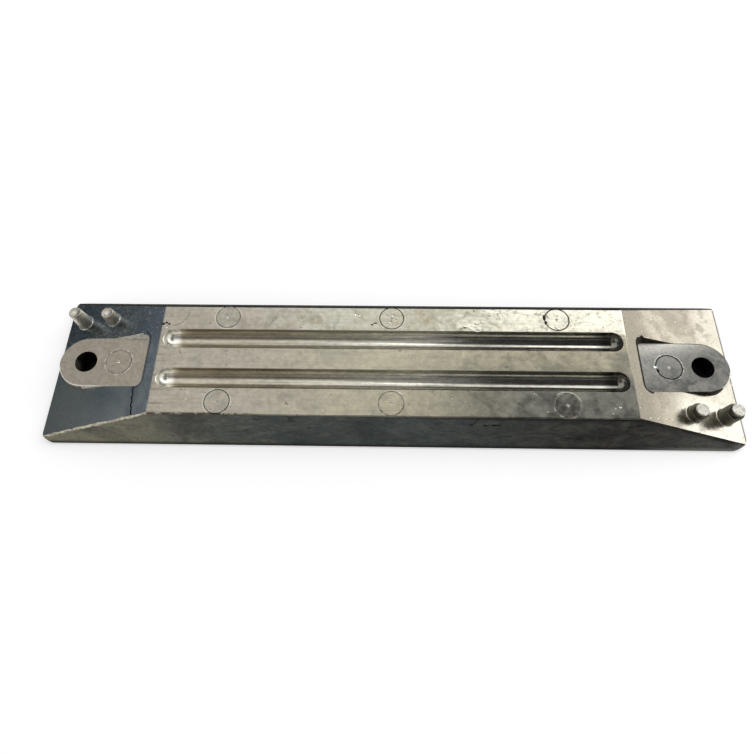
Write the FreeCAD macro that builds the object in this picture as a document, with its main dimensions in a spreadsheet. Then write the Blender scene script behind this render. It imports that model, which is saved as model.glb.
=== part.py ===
# Sacrificial anode: a long die-cast bar that is bolted flat against a hull or bracket.
# Millimetres, +Z up. The origin is at the middle of the flat underside, and X runs along the bar.

import FreeCAD, Part
import math
import os
import Sketcher

doc = FreeCAD.newDocument("SacrificialAnode")


# Driving dimensions

SIZES = [
    ("hole_spacing", 252.5, "between the two bolt holes"),
    ("hole_diameter", 9.0, "clearance for an eight millimetre bolt"),
    ("end_margin", 13.75, "from a bolt hole to the end of the bar"),
    ("overall_width", 64.4, "the bar at its foot"),
    ("lip_height", 1.1, "upright edge all round the foot, below the sloping sides"),
    ("end_thickness", 3.4, "where each ramp runs out at the end"),
    ("round_corner_radius", 3.5, "plan corners at front left and back right"),
    ("tight_corner_radius", 2.5, "plan corners at front right and back left"),
    ("ramp_length", 45.25, "from the end of the bar to the flat plateau"),
    ("side_run", 8.3, "from the long edge of the foot to the flat plateau"),
    ("plateau_height", 14.0, "flat top above the underside"),
    ("edge_radius", 0.5, "worn upper edges of plateau and ramps"),
    ("groove_land", 1.25, "plateau left between a groove's tip and the ramp"),
    ("groove_spacing", 17.5, "between the two groove centre lines"),
    ("groove_radius", 4.1, "round bottom and ball ends of a groove"),
    ("groove_depth", 3.8, "lowest line of a groove below the plateau"),
    ("groove_rim_radius", 0.35, "rounded rim of a groove"),
    ("ear_height", 9.0, "flat face of an ear above the underside"),
    ("ear_width", 21.6, "an ear, whose tip is concentric with its bolt hole"),
    ("ear_setback", 6.55, "from the plateau to the inner end of an ear"),
    ("ear_corner_radius", 2.0, "two inner corners of an ear"),
    ("ear_draft", 10.0, "lean of the proud walls of an ear, in degrees"),
    ("recess_draft", 20.0, "lean of the walls round its sunk inner end, in degrees"),
    ("ear_edge_radius", 0.4, "rounded rim of the part of an ear that stands proud"),
    ("mark_pitch", 68.0, "between the ejector marks along the plateau"),
    ("mark_inset", 5.2, "from the centre of a mark to the long edge of the plateau"),
    ("mark_diameter", 9.9, "witness ring of an ejector on the plateau"),
    ("ear_mark_distance", 13.65, "from a bolt hole to the ejector mark on its ear"),
    ("ear_mark_diameter", 10.5, "witness ring of an ejector on an ear"),
    ("mark_line_width", 0.4, "fine furrow of a witness ring"),
    ("mark_line_depth", 0.25, "depth of that furrow"),
    ("dimple_diameter", 1.2, "small cone at the centre of each mark"),
    ("dimple_depth", 0.4, "depth of that cone"),
    ("pin_end_distance", 7.4, "from the outer stub pin of a pair to the end of the bar"),
    ("pin_side_distance", 12.3, "from the stub pins to the long edge of the foot"),
    ("pin_pitch", 13.6, "between the two stub pins of a pair"),
    ("pin_rise", 0.7, "tips of the stub pins above the plateau"),
    ("pin_root_diameter", 6.6, "tapered pins on the left ramp, at the bar"),
    ("pin_tip_diameter", 5.0, "tapered pins on the left ramp, at the tip"),
    ("pin_dish_depth", 0.5, "hollow in the tip of a tapered pin"),
    ("stepped_root_diameter", 6.8, "stepped pins on the right ramp, at the bar"),
    ("stepped_tip_diameter", 4.9, "stepped pins on the right ramp, above the step"),
    ("stepped_tip_length", 2.3, "narrow tip of a stepped pin"),
    ("pin_tip_chamfer", 0.3, "broken edge at the tip of a pin"),
    ("pin_foot_radius", 0.8, "round where a pin stands on its ramp"),
]

sheet = doc.addObject("Spreadsheet::Sheet", "Sizes")
for row, (alias, value, meaning) in enumerate(SIZES, start=1):
    sheet.set(f"A{row}", alias)
    sheet.set(f"B{row}", str(value))
    sheet.set(f"C{row}", meaning)
    sheet.setAlias(f"B{row}", alias)
doc.recompute()


def size(alias):
    """The present value of one driving dimension."""
    return float(getattr(sheet, alias))


body = doc.addObject("PartDesign::Body", "Casting")
body.Label = "anode_casting"
body.Placement = FreeCAD.Placement()


def origin_feature(role):
    """A plane or axis of the body's own origin."""
    return next(f for f in body.Origin.OriginFeatures if f.Role == role)


def new_sketch(name, plane, right="0", up="0", out="0"):
    """A sketch on an origin plane, moved within it and away from it by expressions of the sizes."""
    sketch = body.newObject("Sketcher::SketchObject", name)
    sketch.AttachmentSupport = [(origin_feature(plane), "")]
    sketch.MapMode = "FlatFace"
    sketch.setExpression("AttachmentOffset.Base.x", right)
    sketch.setExpression("AttachmentOffset.Base.y", up)
    sketch.setExpression("AttachmentOffset.Base.z", out)
    return sketch


def evaluate(expression):
    """The value that an expression of the sizes has now."""
    return float(sheet.evalExpression(expression.replace("Sizes.", "")))


def bind(sketch, kind, *where, to):
    """Add a driving constraint at its present value and tie it to an expression of the sizes."""
    index = sketch.addConstraint(Sketcher.Constraint(kind, *where, evaluate(to)))
    sketch.setExpression(f"Constraints[{index}]", to)


ORIGIN = (-1, 1)
X_AXIS = -1

# Places that follow from the driving dimensions, measured from the middle of the bar
HOLE = "(Sizes.hole_spacing / 2)"
BAR_END = "(Sizes.hole_spacing / 2 + Sizes.end_margin)"
BAR_SIDE = "(Sizes.overall_width / 2)"
PLATEAU_END = f"({BAR_END} - Sizes.ramp_length)"
PLATEAU_SIDE = f"({BAR_SIDE} - Sizes.side_run)"
GROOVE_TIP = f"({PLATEAU_END} - Sizes.groove_land)"
EAR_INNER_END = f"({PLATEAU_END} + Sizes.ear_setback)"
EAR_MARK = f"({HOLE} - Sizes.ear_mark_distance)"
MARK_ROW = f"({PLATEAU_SIDE} - Sizes.mark_inset)"
PIN = f"({BAR_END} - Sizes.pin_end_distance)"
PIN_ROW = f"({BAR_SIDE} - Sizes.pin_side_distance)"
PIN_TOP = "(Sizes.plateau_height + Sizes.pin_rise)"


def polygon(sketch, corners):
    """A closed outline through corners, each given as its two distances from the sketch's origin."""
    points = [FreeCAD.Vector(*(evaluate(along) for along in corner), 0) for corner in corners]
    lines = []
    for start, end in zip(points, points[1:] + points[:1]):
        lines.append(sketch.addGeometry(Part.LineSegment(start, end)))
    for line, following in zip(lines, lines[1:] + lines[:1]):
        sketch.addConstraint(Sketcher.Constraint("Coincident", line, 2, following, 1))
    for line, (across, above) in zip(lines, corners):
        bind(sketch, "DistanceX", *ORIGIN, line, 1, to=across)
        bind(sketch, "DistanceY", *ORIGIN, line, 1, to=above)


def pad(name, sketch, length, downwards=False, draft="0"):
    """Material added from a sketch, its walls leaning outwards by the draft."""
    feature = body.newObject("PartDesign::Pad", name)
    feature.Profile = sketch
    feature.Reversed = downwards
    feature.setExpression("Length", length)
    feature.setExpression("TaperAngle", draft)
    doc.recompute()
    return feature


def pocket(name, sketch, length=None, draft="0"):
    """Material cut away right through the bar, or else upwards from a sketch with leaning walls."""
    volume = body.Shape.Volume
    feature = body.newObject("PartDesign::Pocket", name)
    feature.Profile = sketch
    if length is None:
        feature.Type = "ThroughAll"
        feature.Midplane = True
    else:
        feature.Reversed = True
        feature.setExpression("Length", length)
        feature.setExpression("TaperAngle", draft)
    doc.recompute()
    assert feature.Shape.Volume < volume, f"{name} cuts nothing"
    return feature


def turned_cut(name, sketch, axis):
    """Material cut away by a profile that turns about an axis of its sketch."""
    volume = body.Shape.Volume
    feature = body.newObject("PartDesign::Groove", name)
    feature.Profile = sketch
    feature.ReferenceAxis = (sketch, [axis])
    feature.Angle = 360
    doc.recompute()
    assert feature.Shape.Volume < volume, f"{name} cuts nothing"
    return feature


def mirror(name, originals, plane):
    """The same features again on the other side of an origin plane."""
    feature = body.newObject("PartDesign::Mirrored", name)
    feature.Originals = originals
    feature.MirrorPlane = (origin_feature(plane), [""])
    body.Tip = feature
    doc.recompute()
    return feature


def along_bar(name, originals, length, count):
    """The same features again in an even row along the bar."""
    feature = body.newObject("PartDesign::LinearPattern", name)
    feature.Originals = originals
    feature.Direction = (origin_feature("X_Axis"), [""])
    feature.Occurrences = count
    feature.setExpression("Length", length)
    body.Tip = feature
    doc.recompute()
    return feature


def fillet(name, radius, wanted):
    """Round each edge of the bar for which wanted(edge) is true."""
    base = body.Tip
    edges = [f"Edge{n}" for n, edge in enumerate(base.Shape.Edges, start=1) if wanted(edge)]
    assert edges, f"{name} finds no edge"
    feature = body.newObject("PartDesign::Fillet", name)
    feature.Base = (base, edges)
    feature.setExpression("Radius", radius)
    doc.recompute()
    return feature


# Bar: a block with four rounded corners, two ramps cut from its ends and a slope along each side

footprint = new_sketch("Footprint", "XY_Plane")
polygon(footprint, [
    (f"-{BAR_END}", f"-{BAR_SIDE}"),
    (BAR_END, f"-{BAR_SIDE}"),
    (BAR_END, BAR_SIDE),
    (f"-{BAR_END}", BAR_SIDE),
])
pad("Block", footprint, "Sizes.plateau_height")


def upright_corner(same_side):
    """The block's upright edges where X and Y have the same sign, or else opposite signs."""
    def wanted(edge):
        middle = edge.CenterOfMass
        upright = abs(edge.tangentAt(edge.FirstParameter).z) > 0.99
        return upright and (middle.x * middle.y > 0) == same_side
    return wanted


fillet("RoundCorners", "Sizes.round_corner_radius", upright_corner(same_side=True))
fillet("TightCorners", "Sizes.tight_corner_radius", upright_corner(same_side=False))

ramp_profile = new_sketch("RampProfile", "XZ_Plane")
polygon(ramp_profile, [
    (PLATEAU_END, "Sizes.plateau_height"),
    (BAR_END, "Sizes.end_thickness"),
    (BAR_END, "Sizes.plateau_height"),
])
ramp = pocket("Ramp", ramp_profile)
mirror("OtherRamp", [ramp], "YZ_Plane")

side_profile = new_sketch("SideProfile", "YZ_Plane")
polygon(side_profile, [
    (PLATEAU_SIDE, "Sizes.plateau_height"),
    (BAR_SIDE, "Sizes.lip_height"),
    (BAR_SIDE, "Sizes.plateau_height"),
])
side = pocket("SideSlope", side_profile)
mirror("OtherSideSlope", [side], "XZ_Plane")


NEAR = 0.01  # millimetres within which two places count as the same


def ramp_level(x):
    """Height of the ramps at a distance from the middle of the bar."""
    fall = size("plateau_height") - size("end_thickness")
    return size("end_thickness") + fall * (evaluate(BAR_END) - x) / size("ramp_length")


def upper_edge(edge):
    """Edges of the plateau and ramps, down to where a ramp meets the end."""
    on_top = all(
        abs(v.Z - min(ramp_level(abs(v.X)), size("plateau_height"))) < NEAR for v in edge.Vertexes
    )
    return on_top and abs(edge.CenterOfMass.x) < evaluate(BAR_END) - NEAR


fillet("WornUpperEdges", "Sizes.edge_radius", upper_edge)


# Ears: a flat tongue at each end, sunk into the ramp at its inner end and proud at its tip

def ear_outline(name):
    """The tongue's flat face: straight sides, round tip, two small inner corners."""
    sketch = new_sketch(name, "XY_Plane", out="Sizes.ear_height")
    tip = evaluate(HOLE)
    inner = evaluate(EAR_INNER_END)
    half = size("ear_width") / 2
    corner = size("ear_corner_radius")
    turn = inner + corner
    V = FreeCAD.Vector

    def arc(x, y, radius, start, end):
        circle = Part.Circle(V(x, y, 0), V(0, 0, 1), radius)
        return sketch.addGeometry(Part.ArcOfCircle(circle, math.radians(start), math.radians(end)))

    front = sketch.addGeometry(Part.LineSegment(V(turn, -half, 0), V(tip, -half, 0)))
    round_tip = arc(tip, 0, half, -90, 90)
    back = sketch.addGeometry(Part.LineSegment(V(tip, half, 0), V(turn, half, 0)))
    back_corner = arc(turn, half - corner, corner, 90, 180)
    end = sketch.addGeometry(Part.LineSegment(V(inner, half - corner, 0), V(inner, corner - half, 0)))
    front_corner = arc(turn, corner - half, corner, 180, 270)
    for joint in [
        (front, 2, round_tip, 1),
        (round_tip, 2, back, 1),
        (back, 2, back_corner, 1),
        (back_corner, 2, end, 1),
        (end, 2, front_corner, 1),
        (front_corner, 2, front, 1),
    ]:
        sketch.addConstraint(Sketcher.Constraint("Tangent", *joint))
    sketch.addConstraint(Sketcher.Constraint("Horizontal", front))
    sketch.addConstraint(Sketcher.Constraint("Horizontal", back))
    sketch.addConstraint(Sketcher.Constraint("Vertical", end))
    sketch.addConstraint(Sketcher.Constraint("PointOnObject", round_tip, 3, X_AXIS))
    sketch.addConstraint(Sketcher.Constraint("Equal", back_corner, front_corner))
    bind(sketch, "DistanceX", *ORIGIN, round_tip, 3, to=HOLE)
    bind(sketch, "DistanceX", *ORIGIN, end, 1, to=EAR_INNER_END)
    bind(sketch, "Radius", round_tip, to="Sizes.ear_width / 2")
    bind(sketch, "Radius", front_corner, to="Sizes.ear_corner_radius")
    return sketch


ear = pad("Ear", ear_outline("EarOutline"), "Sizes.ear_height", downwards=True, draft="Sizes.ear_draft")
recess = pocket(
    "EarRecess", ear_outline("RecessOutline"),
    length="Sizes.plateau_height - Sizes.ear_height", draft="Sizes.recess_draft",
)

hole_outline = new_sketch("HoleOutline", "XY_Plane", right=HOLE)
hole_circle = hole_outline.addGeometry(
    Part.Circle(FreeCAD.Vector(), FreeCAD.Vector(0, 0, 1), size("hole_diameter") / 2))
hole_outline.addConstraint(Sketcher.Constraint("Coincident", hole_circle, 3, *ORIGIN))
bind(hole_outline, "Diameter", hole_circle, to="Sizes.hole_diameter")
hole = pocket("BoltHole", hole_outline)
mirror("OtherEar", [ear, recess, hole], "YZ_Plane")


def proud_rim(edge):
    """Edges round the ears' flat faces where the tongue stands above the ramp."""
    level = all(abs(v.Z - size("ear_height")) < NEAR for v in edge.Vertexes)
    middle = edge.CenterOfMass
    round_hole = math.hypot(abs(middle.x) - evaluate(HOLE), middle.y) < size("hole_diameter") / 2 + NEAR
    return level and not round_hole and ramp_level(abs(middle.x)) < size("ear_height") - NEAR


fillet("EarRim", "Sizes.ear_edge_radius", proud_rim)


# Grooves: two round-bottomed channels with ball ends along the plateau

groove_profile = new_sketch(
    "GrooveProfile", "XZ_Plane",
    up="Sizes.plateau_height - Sizes.groove_depth + Sizes.groove_radius",
    out="-Sizes.groove_spacing / 2",
)


def half_capsule(sketch):
    """Half the lengthwise section of a bar with ball ends, its flat side on the sketch's X axis."""
    radius = size("groove_radius")
    reach = evaluate(GROOVE_TIP)
    centre = reach - radius
    V = FreeCAD.Vector
    spine = sketch.addGeometry(Part.LineSegment(V(-reach, 0, 0), V(reach, 0, 0)))
    left_ball = sketch.addGeometry(Part.ArcOfCircle(
        Part.Circle(V(-centre, 0, 0), V(0, 0, 1), radius), math.pi, 1.5 * math.pi))
    bottom = sketch.addGeometry(Part.LineSegment(V(-centre, -radius, 0), V(centre, -radius, 0)))
    right_ball = sketch.addGeometry(Part.ArcOfCircle(
        Part.Circle(V(centre, 0, 0), V(0, 0, 1), radius), 1.5 * math.pi, 2 * math.pi))
    sketch.addConstraint(Sketcher.Constraint("Horizontal", spine))
    sketch.addConstraint(Sketcher.Constraint("Horizontal", bottom))
    sketch.addConstraint(Sketcher.Constraint("Coincident", spine, 1, left_ball, 1))
    sketch.addConstraint(Sketcher.Constraint("Coincident", spine, 2, right_ball, 2))
    sketch.addConstraint(Sketcher.Constraint("Tangent", left_ball, 2, bottom, 1))
    sketch.addConstraint(Sketcher.Constraint("Tangent", bottom, 2, right_ball, 1))
    sketch.addConstraint(Sketcher.Constraint("PointOnObject", left_ball, 3, X_AXIS))
    sketch.addConstraint(Sketcher.Constraint("PointOnObject", right_ball, 3, X_AXIS))
    sketch.addConstraint(Sketcher.Constraint("Symmetric", spine, 1, spine, 2, *ORIGIN))
    bind(sketch, "DistanceX", spine, 1, spine, 2, to=f"2 * {GROOVE_TIP}")
    bind(sketch, "Radius", left_ball, to="Sizes.groove_radius")


half_capsule(groove_profile)
groove = turned_cut("LengthwiseGroove", groove_profile, "H_Axis")
mirror("OtherGroove", [groove], "XZ_Plane")


def groove_rim(edge):
    """Edges where a groove runs out at the plateau."""
    level = all(abs(v.Z - size("plateau_height")) < NEAR for v in edge.Vertexes)
    middle = edge.CenterOfMass
    off_centre = abs(abs(middle.y) - size("groove_spacing") / 2)
    return level and abs(middle.x) < evaluate(GROOVE_TIP) and off_centre < size("groove_radius") + NEAR


fillet("GrooveRims", "Sizes.groove_rim_radius", groove_rim)


# Ejector marks: a fine ring and a centre dimple where each ejector met the casting

def mark_profile(name, diameter, right, up, out):
    """Section of the ring's furrow and of the centre dimple, beside the mark's upright axis."""
    sketch = new_sketch(name, "XZ_Plane", right=right, up=up, out=out)
    polygon(sketch, [
        ("0", "0"),
        ("Sizes.dimple_diameter / 2", "0"),
        ("0", "-Sizes.dimple_depth"),
    ])
    ring = f"Sizes.{diameter} / 2"
    polygon(sketch, [
        (f"{ring} - Sizes.mark_line_width / 2", "0"),
        (f"{ring} + Sizes.mark_line_width / 2", "0"),
        (ring, "-Sizes.mark_line_depth"),
    ])
    return sketch


for name, row in (("Back", f"-{MARK_ROW}"), ("Front", MARK_ROW)):
    profile = mark_profile(
        f"{name}MarkProfile", "mark_diameter",
        right="-Sizes.mark_pitch",
        up="Sizes.plateau_height",
        out=row,
    )
    mark = turned_cut(f"{name}Mark", profile, "V_Axis")
    along_bar(f"{name}Marks", [mark], "2 * Sizes.mark_pitch", 3)

ear_mark_profile = mark_profile(
    "EarMarkProfile", "ear_mark_diameter",
    right=EAR_MARK,
    up="Sizes.ear_height",
    out="0",
)
ear_mark = turned_cut("EarMark", ear_mark_profile, "V_Axis")
mirror("OtherEarMark", [ear_mark], "YZ_Plane")


# Stub pins: two tapered ones at the back of the left ramp, two stepped ones at the front right

def pin_pair(name, corners, x, out, direction):
    """Turn a pin about its own upright axis and repeat it one pitch nearer the middle of the bar."""
    sketch = new_sketch(f"{name}Profile", "XZ_Plane", right=x, out=out)
    polygon(sketch, corners)
    feature = body.newObject("PartDesign::Revolution", name)
    feature.Profile = sketch
    feature.ReferenceAxis = (sketch, ["V_Axis"])
    feature.Angle = 360
    doc.recompute()
    pair = along_bar(f"{name}s", [feature], "Sizes.pin_pitch", 2)
    pair.Reversed = direction < 0
    doc.recompute()


pin_pair(
    "TaperedPin",
    [
        ("0", "0"),
        ("Sizes.pin_root_diameter / 2", "0"),
        ("Sizes.pin_root_diameter / 2", "Sizes.end_thickness"),
        ("Sizes.pin_tip_diameter / 2", f"{PIN_TOP} - Sizes.pin_tip_chamfer"),
        ("Sizes.pin_tip_diameter / 2 - Sizes.pin_tip_chamfer", PIN_TOP),
        ("0", f"{PIN_TOP} - Sizes.pin_dish_depth"),
    ],
    x=f"-{PIN}",
    out=f"-{PIN_ROW}",
    direction=1,
)
pin_pair(
    "SteppedPin",
    [
        ("0", "0"),
        ("Sizes.stepped_root_diameter / 2", "0"),
        ("Sizes.stepped_root_diameter / 2", f"{PIN_TOP} - Sizes.stepped_tip_length"),
        ("Sizes.stepped_tip_diameter / 2", f"{PIN_TOP} - Sizes.stepped_tip_length"),
        ("Sizes.stepped_tip_diameter / 2", f"{PIN_TOP} - Sizes.pin_tip_chamfer"),
        ("Sizes.stepped_tip_diameter / 2 - Sizes.pin_tip_chamfer", PIN_TOP),
        ("0", PIN_TOP),
    ],
    x=PIN,
    out=PIN_ROW,
    direction=-1,
)


def pin_foot(edge):
    """Edges where a pin meets its ramp."""
    on_ramp = all(abs(v.Z - ramp_level(abs(v.X))) < NEAR for v in edge.Vertexes)
    beside_row = abs(abs(edge.CenterOfMass.y) - evaluate(PIN_ROW)) < size("pin_root_diameter") / 2
    return on_ramp and beside_row and len(edge.Vertexes) == 1


fillet("PinFeet", "Sizes.pin_foot_radius", pin_foot)


# Check and write

doc.recompute()
for thing in doc.Objects:
    assert not {"Invalid", "Error"} & set(thing.State), f"{thing.Name}: {thing.State}"
    if thing.TypeId == "Sketcher::SketchObject":
        assert thing.FullyConstrained, f"{thing.Name} is loose"
shape = body.Shape
sound = not shape.isNull() and shape.isValid() and len(shape.Solids) == 1
assert sound, "the casting is not one sound solid"

os.makedirs("parts", exist_ok=True)
shape.exportStep(f"parts/{body.Label}.step")
box = shape.BoundBox
print(f"{body.Label}: {box.XLength:.2f} x {box.YLength:.2f} x {box.ZLength:.2f} mm,"
      f" {shape.Volume / 1000:.1f} cm3, {len(shape.Faces)} faces")
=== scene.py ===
# %% [markdown]
# A die-cast anode, modelled and finished in Blender
#
# This lesson builds one light-alloy casting: a long bar with ramped ends, two grooves along its flat
# top and a bolt ear at each end. The CAD model is loaded first and is the ruler for everything that
# follows. Whatever is modelled here has to fill the same box and stand in the same place.

# %% Load the frame
import bmesh
import bpy
import math
import random
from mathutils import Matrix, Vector


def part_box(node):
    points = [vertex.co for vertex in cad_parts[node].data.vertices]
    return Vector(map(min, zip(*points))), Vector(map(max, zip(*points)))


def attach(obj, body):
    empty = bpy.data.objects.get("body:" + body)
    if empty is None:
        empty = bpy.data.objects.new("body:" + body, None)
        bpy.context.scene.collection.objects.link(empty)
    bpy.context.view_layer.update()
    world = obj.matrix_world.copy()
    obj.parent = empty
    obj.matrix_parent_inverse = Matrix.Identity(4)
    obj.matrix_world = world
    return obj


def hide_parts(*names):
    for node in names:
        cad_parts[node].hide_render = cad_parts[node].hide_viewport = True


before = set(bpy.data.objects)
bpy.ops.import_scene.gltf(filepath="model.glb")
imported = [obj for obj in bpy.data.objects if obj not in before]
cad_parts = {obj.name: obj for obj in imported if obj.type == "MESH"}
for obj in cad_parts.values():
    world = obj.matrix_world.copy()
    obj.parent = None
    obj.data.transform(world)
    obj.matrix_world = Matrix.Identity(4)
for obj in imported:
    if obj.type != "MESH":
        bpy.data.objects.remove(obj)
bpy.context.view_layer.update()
CASTING = "anode_casting"
low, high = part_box(CASTING)
print("the bar fills", [round(high[i] - low[i], 4) for i in range(3)], "metres")

# %% [markdown]
# Blender works in metres and the drawing of this bar in millimetres, so one factor turns them into each
# other. The bar looks the same when it is turned half round on its bolts. That is why most places need
# only one number, which is measured from the middle: plus and minus that number are the two ends or the
# two sides.

# %% Sizes of the bar
MM = 0.001
BAR_END = high.x
BAR_SIDE = high.y
PLATEAU_END = BAR_END - 45.25 * MM
PLATEAU_SIDE = BAR_SIDE - 8.3 * MM
PLATEAU = 14.0 * MM
END_LEVEL = 3.4 * MM
LIP_LEVEL = 1.1 * MM
RAMP_FALL = (PLATEAU - END_LEVEL) / (BAR_END - PLATEAU_END)
SIDE_FALL = (PLATEAU - LIP_LEVEL) / (BAR_SIDE - PLATEAU_SIDE)
HOLE = BAR_END - 13.75 * MM
EAR = 9.0 * MM
EAR_HALF = 10.8 * MM
EAR_INNER = PLATEAU_END + 6.55 * MM
HOLE_RADIUS = 4.5 * MM


def ramp_level(x):
    """Height of the ramps at a distance from the middle of the bar."""
    return END_LEVEL + RAMP_FALL * (BAR_END - x)


print("the plateau is", round(2000 * PLATEAU_END, 2), "by", round(2000 * PLATEAU_SIDE, 2), "millimetres")

# %% [markdown]
# Modelling by hand is a round of three moves: enter edit mode, pick some faces or edges, and run an
# operator on them. In a script the picking is done by place or by direction instead of by mouse. These
# helpers keep that short. Each one first deselects everything, because an operator acts on all that
# happens to be selected.

# %% Picking and editing
def begin(piece):
    """Enter edit mode on one piece, with nothing picked."""
    bpy.ops.object.select_all(action="DESELECT")
    piece.select_set(True)
    bpy.context.view_layer.objects.active = piece
    bpy.ops.object.mode_set(mode="EDIT")
    bpy.ops.mesh.select_mode(type="VERT")
    bpy.ops.mesh.select_all(action="DESELECT")


def middle(element):
    """The average place of a vertex, an edge or a face."""
    if isinstance(element, bmesh.types.BMVert):
        return element.co
    return sum((v.co for v in element.verts), Vector()) / len(element.verts)


def pick(kind, wanted):
    """Pick the vertices, edges or faces for which wanted(element) is true, and nothing else."""
    bpy.ops.mesh.select_mode(type=kind)
    bpy.ops.mesh.select_all(action="DESELECT")
    mesh = bmesh.from_edit_mesh(bpy.context.edit_object.data)
    elements = {"VERT": mesh.verts, "EDGE": mesh.edges, "FACE": mesh.faces}[kind]
    picked = [element for element in elements if wanted(element)]
    for element in picked:
        element.select_set(True)
    mesh.select_flush_mode()
    bmesh.update_edit_mesh(bpy.context.edit_object.data)
    return len(picked)


def end():
    """Leave edit mode."""
    bpy.ops.object.mode_set(mode="OBJECT")


# %% [markdown]
# A new primitive arrives with its size and place on the object. Both are moved into the mesh at once,
# so that every object stays at the origin, unturned and unscaled. Patterns in the materials can then
# use plain places.

# %% New pieces
def added(name):
    """Name the primitive that was just added and move its size and place into its mesh."""
    piece = bpy.context.object
    piece.name = name
    piece.data.name = name
    bpy.ops.object.transform_apply(location=True, rotation=True, scale=True)
    return piece


def block(name, centre, size):
    """A box of a given size about its centre."""
    bpy.ops.object.select_all(action="DESELECT")
    bpy.ops.mesh.primitive_cube_add(size=1, location=centre, scale=size)
    return added(name)


def drawn(name, points):
    """A chain of edges: one vertex at the first point, extruded from point to point."""
    bpy.ops.object.select_all(action="DESELECT")
    bpy.ops.mesh.primitive_plane_add(size=MM, location=points[0])
    piece = added(name)
    begin(piece)
    bpy.ops.mesh.select_all(action="SELECT")
    bpy.ops.mesh.merge(type="CENTER")
    for start, stop in zip(points, points[1:]):
        step = Vector(stop) - Vector(start)
        bpy.ops.mesh.extrude_region_move(TRANSFORM_OT_translate={"value": step})
    end()
    return piece


def combine(piece, other, how):
    """Unite, cut or intersect a piece with another one, which is used up and leaves its finish."""
    bpy.ops.object.select_all(action="DESELECT")
    bpy.context.view_layer.objects.active = piece
    modifier = piece.modifiers.new("Combine", "BOOLEAN")
    modifier.operation = how
    modifier.solver = "EXACT"
    modifier.material_mode = "TRANSFER"
    modifier.object = other
    bpy.ops.object.modifier_apply(modifier="Combine")
    bpy.data.objects.remove(other)


def copied(piece, name):
    """Another piece of the same form, with a mesh of its own."""
    copy = piece.copy()
    copy.data = piece.data.copy()
    copy.name = name
    bpy.context.scene.collection.objects.link(copy)
    return copy


SAME_PLACE = 0.00001 * MM


def closed(piece):
    """Merge doubles, turn all faces outwards and say whether the piece is closed."""
    begin(piece)
    bpy.ops.mesh.select_all(action="SELECT")
    bpy.ops.mesh.remove_doubles(threshold=SAME_PLACE)
    bpy.ops.mesh.normals_make_consistent(inside=False)
    mesh = bmesh.from_edit_mesh(piece.data)
    loose = sum(not edge.is_manifold for edge in mesh.edges)
    faces = len(mesh.faces)
    end()
    print(piece.name, "has", faces, "faces and", loose, "open edges")
    return piece


def in_triangles(piece):
    """Split all faces into triangles, so that merging doubles can't break one with many small holes."""
    begin(piece)
    bpy.ops.mesh.select_all(action="SELECT")
    bpy.ops.mesh.quads_convert_to_tris(quad_method="BEAUTY", ngon_method="BEAUTY")
    end()
    return piece


# %% [markdown]
# Finishes are given to the pieces before they are joined. A boolean hands the finish of a cutter to the
# walls that it leaves, so a polished groove or a dark bore keeps its own material. They are empty here
# and filled with nodes further down.

# %% Names of the finishes
FINISHES = [
    "plateau_skin", "left_ramp_skin", "right_ramp_skin", "side_skin", "groove_skin",
    "ear_skin", "pin_skin", "clean_metal", "worn_line", "dirt_and_painted_shade",
    "flash_skin", "pale_painted_highlight", "underside_skin",
]
finish = {name: bpy.data.materials.new(name) for name in FINISHES}
print(len(finish), "finishes named")


def dress(piece, name):
    """Give a whole piece one finish."""
    piece.data.materials.clear()
    piece.data.materials.append(finish[name])
    return piece


# %% [markdown]
# The bar is the overlap of two simple solids. One is a hipped roof, whose slopes are the ramps and the
# long sides. The other is an upright slab with the bar's footprint and its rounded corners. Cutting the
# corners from a finished roof would need four awkward cuts; an intersection gives the foot's lip and
# all corners at once, and no two faces lie in the same plane, which booleans don't like. Two opposite
# corners of the foot are rounder than the other two.

# %% Bar
ROOF_BELOW = 2 * MM
roof_end = PLATEAU_END + (PLATEAU + ROOF_BELOW) / RAMP_FALL
roof_side = PLATEAU_SIDE + (PLATEAU + ROOF_BELOW) / SIDE_FALL
casting = block(
    "casting", (0, 0, (PLATEAU - ROOF_BELOW) / 2), (2 * roof_end, 2 * roof_side, PLATEAU + ROOF_BELOW))
begin(casting)
pick("FACE", lambda face: face.normal.z > 0.9)
bpy.ops.transform.resize(
    value=(PLATEAU_END / roof_end, PLATEAU_SIDE / roof_side, 1), center_override=(0, 0, 0))
end()

SLAB = 20 * MM
SMALL_CORNER = 3.5 * MM
LARGE_CORNER = 4.6 * MM


def corner_edge(edge, same_side):
    """True for the slab's upright edges at one of its two pairs of opposite corners."""
    centre = middle(edge)
    upright = SLAB / 3 < centre.z < SLAB * 2 / 3
    at_corner = abs(centre.x) > BAR_END - MM and abs(centre.y) > BAR_SIDE - MM
    return upright and at_corner and (centre.x * centre.y > 0) == same_side


slab = block("slab", (0, 0, SLAB / 2), (2 * BAR_END, 2 * BAR_SIDE, SLAB))
begin(slab)
for same_side, radius in ((True, SMALL_CORNER), (False, LARGE_CORNER)):
    pick("EDGE", lambda edge: corner_edge(edge, same_side))
    bpy.ops.mesh.bevel(offset=radius, segments=8, profile=0.5, affect="EDGES")
end()
combine(casting, slab, "INTERSECT")
closed(casting)

# %% [markdown]
# The faces of the bare bar get their finishes by direction, while there are still only a few of them.

# %% Finishes of the bar's faces
def skin_of(normal):
    """The finish of a face of the bar, told from the way it faces."""
    if normal.z > 0.999:
        return "plateau_skin"
    if normal.z > 0.9:
        return "left_ramp_skin" if normal.x < 0 else "right_ramp_skin"
    return "underside_skin" if normal.z < -0.9 else "side_skin"


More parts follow.
